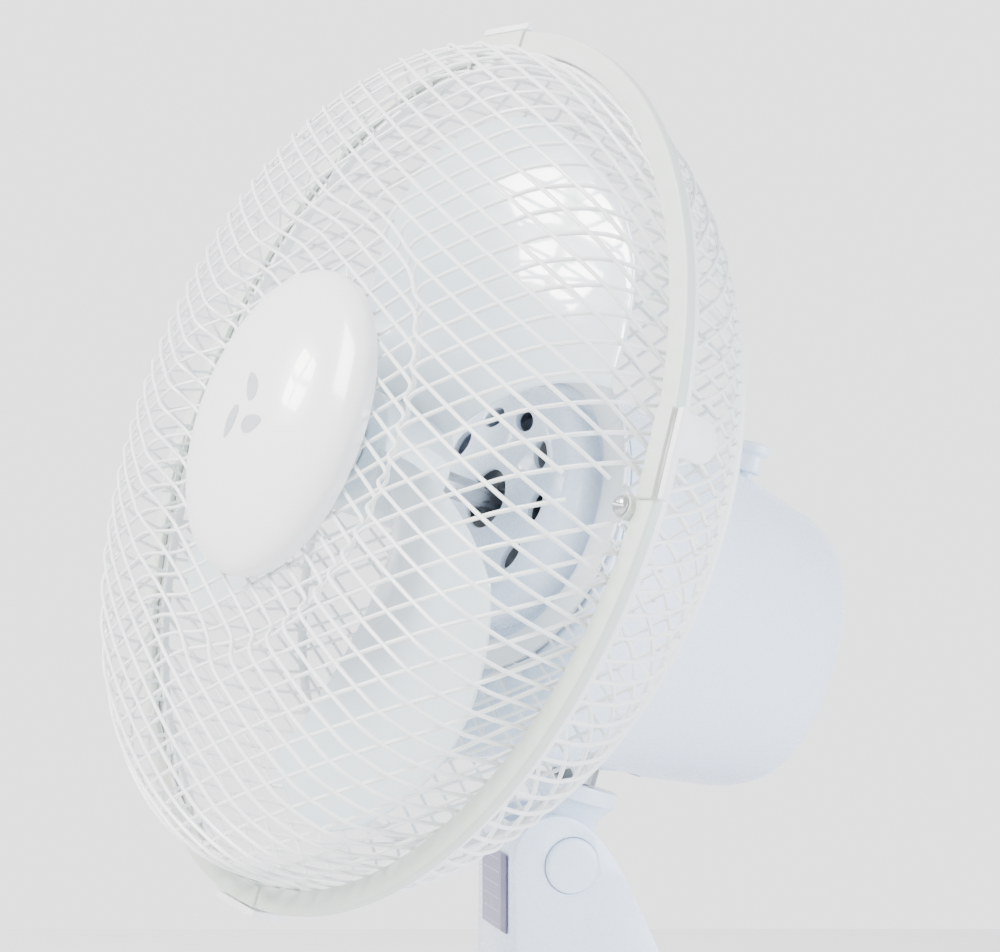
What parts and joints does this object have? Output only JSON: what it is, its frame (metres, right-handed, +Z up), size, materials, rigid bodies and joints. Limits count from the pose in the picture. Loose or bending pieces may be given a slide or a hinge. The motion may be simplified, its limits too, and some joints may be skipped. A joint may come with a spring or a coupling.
{
  "type": "desk fan",
  "caption": "Tilting, swinging desk fan: round wire guards on a plastic rim, glossy blades, smooth motor housing, slotted column and round base with push buttons.",
  "frame": {"origin": "middle of the underside of the centre foot, on the desk", "axes": "+Z up, -Y towards the front of the base, +X to the fan's left as seen from its front"},
  "size_m": [0.2715, 0.2431, 0.3912],
  "materials": {
    "white_plastic": "smooth gloss moulding",
    "cap_plastic": "polished moulding",
    "band_plastic": "satin moulding",
    "clip_plastic": "satin moulding",
    "blade_plastic": "high gloss, faintly translucent",
    "coated_wire": "powder coat over steel wire",
    "grey_label": "printed film, no text",
    "rubber": "matte",
    "steel": "zinc plated",
    "lamination": "stacked sheet edges",
    "cast_iron": "rough cast",
    "cast_alloy": "as cast",
    "copper": "enamelled winding wire",
    "black_plastic": "satin",
    "nylon": "natural nylon"
  },
  "bodies": {
    "base": {"base_shell": "white_plastic", "base_floor": "white_plastic", "ballast_plate": "cast_iron", "foot_centre": "rubber", "foot_1": "rubber", "foot_2": "rubber", "foot_3": "rubber", "foot_4": "rubber", "switch_block": "black_plastic", "capacitor": "black_plastic", "cord_gland": "black_plastic", "column": "white_plastic", "column_screw_left": "steel", "column_screw_right": "steel", "rating_plate": "grey_label", "pivot_cap_right": "white_plastic", "pivot_cap_left": "white_plastic", "tilt_bolt": "steel", "tilt_nut": "steel", "tilt_washer_right": "nylon", "tilt_washer_left": "nylon"},
    "neck": {"neck": "white_plastic", "swivel_pin": "steel"},
    "link_arm": {"link_arm": "steel"},
    "head": {"motor_housing": "white_plastic", "motor_cover": "white_plastic", "stator_core": "lamination", "winding_front": "copper", "winding_rear": "copper", "bearing_shield_front": "cast_alloy", "bearing_shield_rear": "cast_alloy", "gearbox_casting": "cast_alloy", "gearbox_lid": "cast_alloy", "front_guard": "coated_wire", "rim_band": "band_plastic", "lock_screw": "steel", "rear_guard": "coated_wire", "centre_cap": "cap_plastic", "cap_retainer": "white_plastic", "cap_screw": "steel"},
    "rotor": {"motor_shaft": "steel", "rotor_core": "lamination", "fan_blades": "blade_plastic", "blade_nut": "blade_plastic"},
    "worm_gear": {"worm_wheel": "nylon"},
    "crank": {"crank": "nylon"},
    "stop_knob": {"stop_knob": "white_plastic"},
    "button_off": {"button_off": "white_plastic"},
    "button_low": {"button_low": "white_plastic"},
    "button_high": {"button_high": "white_plastic"},
    "rim_clip_1": {"rim_clip_1": "clip_plastic"},
    "rim_clip_2": {"rim_clip_2": "clip_plastic"},
    "rim_clip_3": {"rim_clip_3": "clip_plastic"},
    "rim_clip_4": {"rim_clip_4": "clip_plastic"}
  },
  "joints": [
    {"name": "tilt", "type": "hinge", "parent": "base", "child": "neck", "pos_m": [0, 0.006, 0.128], "axis": [-1, 0, 0], "range_deg": [-22.75, 7.25]},
    {"name": "swing", "type": "hinge", "parent": "neck", "child": "head", "pos_m": [0, 0.03725, 0.22562], "axis": [0, 0.3049, 0.9524], "range_deg": [-56, 24]},
    {"name": "link_rock", "type": "hinge", "parent": "neck", "child": "link_arm", "pos_m": [-0.01301, 0.02515, 0.16334], "axis": [0, 0.3049, 0.9524], "range_deg": [-20, 20]},
    {"name": "spin", "type": "hinge", "parent": "head", "child": "rotor", "pos_m": [0.02949, -0.06071, 0.25698], "axis": [0.2756, -0.9155, 0.2931], "continuous": true},
    {"name": "worm_spin", "type": "hinge", "parent": "head", "child": "worm_gear", "pos_m": [0.00702, 0.06195, 0.21771], "axis": [0, 0.3049, 0.9524], "continuous": true},
    {"name": "crank_spin", "type": "hinge", "parent": "head", "child": "crank", "pos_m": [-0.01028, 0.05723, 0.21923], "axis": [0, 0.3049, 0.9524], "continuous": true},
    {"name": "stop_knob_pull", "type": "slide", "parent": "head", "child": "stop_knob", "axis": [0, 0.3049, 0.9524], "range_m": [0, 0.005]},
    {"name": "button_off_press", "type": "slide", "parent": "base", "child": "button_off", "axis": [0, 0, -1], "range_m": [0, 0.003], "stiffness_N_per_m": 300, "springref_m": -0.001},
    {"name": "button_low_press", "type": "slide", "parent": "base", "child": "button_low", "axis": [0, 0, -1], "range_m": [0, 0.003], "stiffness_N_per_m": 300, "springref_m": -0.001},
    {"name": "button_high_press", "type": "slide", "parent": "base", "child": "button_high", "axis": [0, 0, -1], "range_m": [0, 0.003], "stiffness_N_per_m": 300, "springref_m": -0.001},
    {"name": "rim_clip_1_open", "type": "hinge", "parent": "head", "child": "rim_clip_1", "pos_m": [0.16324, -0.02107, 0.25705], "axis": [0.0838, -0.2808, -0.9561], "range_deg": [0, 60]},
    {"name": "rim_clip_2_open", "type": "hinge", "parent": "head", "child": "rim_clip_2", "pos_m": [0.02966, -0.01873, 0.39001], "axis": [0.9613, 0.2625, -0.084], "range_deg": [0, 60]},
    {"name": "rim_clip_3_open", "type": "hinge", "parent": "head", "child": "rim_clip_3", "pos_m": [-0.10393, -0.10145, 0.25725], "axis": [-0.0838, 0.2808, 0.9561], "range_deg": [0, 60]},
    {"name": "rim_clip_4_open", "type": "hinge", "parent": "head", "child": "rim_clip_4", "pos_m": [0.02966, -0.10379, 0.12429], "axis": [-0.9613, -0.2625, 0.084], "range_deg": [0, 60]}
  ],
  "couplings": [
    {"joint": "worm_spin", "follows": "spin", "ratio": 0.03125},
    {"joint": "crank_spin", "follows": "spin", "ratio": -0.009375}
  ]
}
